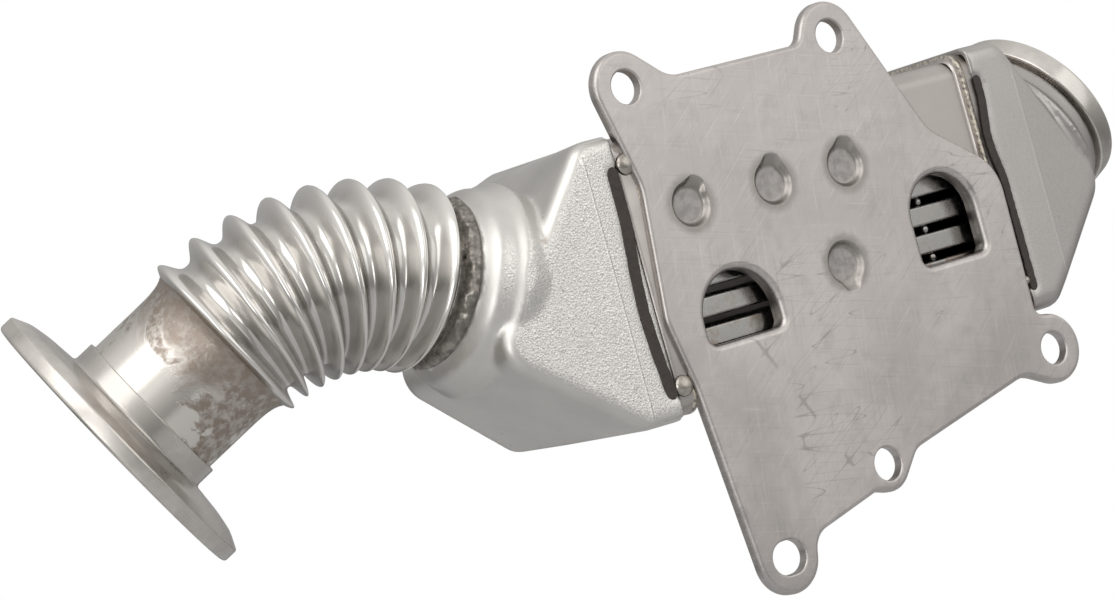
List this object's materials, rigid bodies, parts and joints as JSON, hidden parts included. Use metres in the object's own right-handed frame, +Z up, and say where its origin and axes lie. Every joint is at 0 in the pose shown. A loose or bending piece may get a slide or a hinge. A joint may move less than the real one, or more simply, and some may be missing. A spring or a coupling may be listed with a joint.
{
  "type": "egr cooler",
  "caption": "Exhaust gas recirculation cooler: flat-tube core on a stamped mounting plate with coolant ports, wedge hoods, bent bellows and turned inlet flange.",
  "frame": {"origin": "on the mounting face of the plate, at the middle of the tube core", "axes": "+X along the gas path from inlet to outlet, -Y out of the mounting face, +Z up across the tubes"},
  "size_m": [0.328, 0.0908, 0.144],
  "materials": {
    "plate_steel": "satin, finely scratched",
    "shell_steel": "satin rolled sheet",
    "tube_steel": "smooth rolled sheet",
    "hood_steel": "fine blasted grain",
    "bellows_steel": "polished",
    "turned_steel": "turned, heat stained at the neck",
    "braze": "matt dark brown",
    "weld": "rough weld bead"
  },
  "bodies": {
    "root": {"mounting_plate": "plate_steel", "shell_cover": "shell_steel", "shell_tray": "shell_steel", "inlet_header": "shell_steel", "outlet_header": "shell_steel", "gas_tube_1": "tube_steel", "gas_tube_2": "tube_steel", "gas_tube_3": "tube_steel", "gas_tube_4": "tube_steel", "gas_tube_5": "tube_steel", "gas_tube_6": "tube_steel", "gas_tube_7": "tube_steel", "gas_tube_8": "tube_steel", "tube_fin_1": "tube_steel", "tube_fin_2": "tube_steel", "tube_fin_3": "tube_steel", "tube_fin_4": "tube_steel", "tube_fin_5": "tube_steel", "tube_fin_6": "tube_steel", "tube_fin_7": "tube_steel", "tube_fin_8": "tube_steel", "inlet_hood": "hood_steel", "outlet_hood": "hood_steel", "bellows": "bellows_steel", "inlet_flange": "turned_steel", "neck_pipe": "turned_steel", "outlet_ring": "turned_steel", "inlet_braze_seam": "braze", "outlet_braze_seam": "braze", "bellows_weld": "weld", "tack_weld_upper": "weld", "tack_weld_lower": "weld", "tack_weld_outlet": "weld"}
  },
  "joints": []
}
